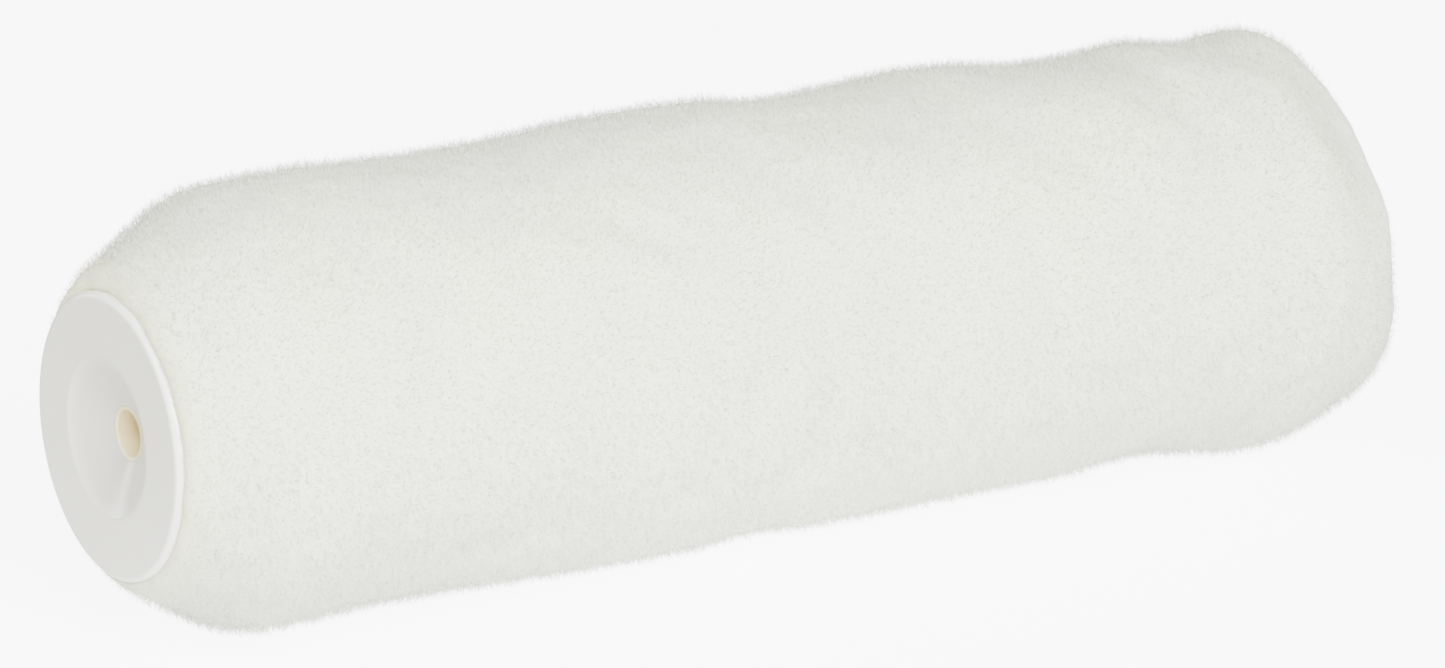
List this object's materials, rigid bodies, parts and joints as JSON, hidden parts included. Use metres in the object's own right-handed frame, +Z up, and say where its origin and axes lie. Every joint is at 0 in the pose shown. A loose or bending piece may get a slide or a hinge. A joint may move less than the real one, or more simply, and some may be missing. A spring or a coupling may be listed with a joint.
{
  "type": "paint roller refill",
  "caption": "Paint roller refill: a thick fleece sleeve on a plastic core with end caps, turning on an inner sleeve that slides over a frame's plain rod.",
  "frame": {"origin": "on the roller's axis, halfway between the outer faces of its two end caps", "axes": "+Y along the roller's axis, from the front cap to the rear cap; +Z up"},
  "size_m": [0.079, 0.254, 0.079],
  "materials": {
    "fleece": "matte",
    "knit_backing": "matte",
    "hot_melt": "satin",
    "core_plastic": "satin",
    "cap_plastic": "satin",
    "bush_plastic": "satin",
    "guide_plastic": "satin"
  },
  "bodies": {
    "axle_sleeve": {"front_bush": "bush_plastic", "guide_tube": "guide_plastic", "rear_bush": "bush_plastic"},
    "roller": {"pile": "fleece", "backing_fabric": "knit_backing", "adhesive_film": "hot_melt", "core_tube": "core_plastic", "front_cap": "cap_plastic", "rear_cap": "cap_plastic"}
  },
  "joints": [
    {"name": "roller_spin", "type": "hinge", "parent": "axle_sleeve", "child": "roller", "pos_m": [0, 0, 0], "axis": [0, 1, 0], "continuous": true}
  ]
}
